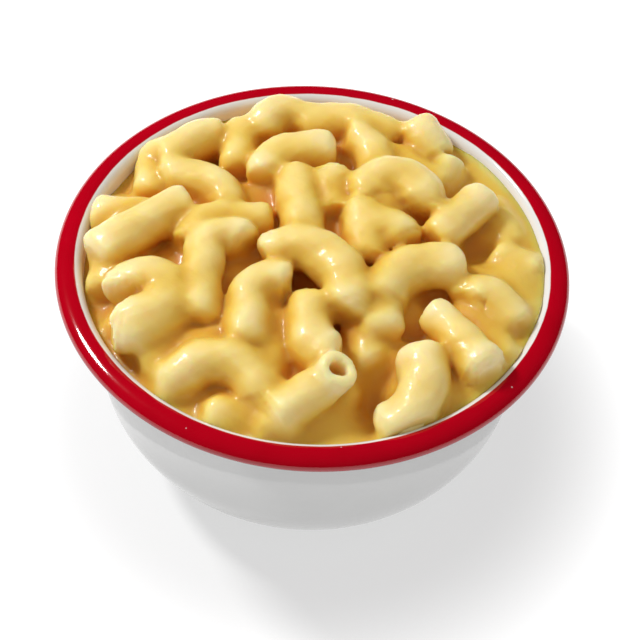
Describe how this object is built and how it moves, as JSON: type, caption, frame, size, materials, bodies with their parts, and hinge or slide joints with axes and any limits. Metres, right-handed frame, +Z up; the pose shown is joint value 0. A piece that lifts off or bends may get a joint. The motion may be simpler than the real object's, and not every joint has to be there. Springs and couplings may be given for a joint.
{
  "type": "bowl of macaroni and cheese",
  "caption": "Small enamelled steel bowl with a rolled rim, filled to the brim with elbow macaroni standing out of thick cheese sauce, ready to serve.",
  "frame": {"origin": "middle of the underside of the bowl's flat base", "axes": "+Z up out of the bowl's mouth, -Y towards the side that was shown nearest, +X to that side's right"},
  "size_m": [0.12, 0.12, 0.0692],
  "materials": {
    "enamel": "glossy white vitreous enamel with a glossy deep red rim",
    "pasta_in_sauce": "moist pale yellow pasta under glossy, slightly translucent cheese sauce"
  },
  "bodies": {
    "root": {"bowl": "enamel", "macaroni_heap": "pasta_in_sauce"}
  },
  "joints": []
}
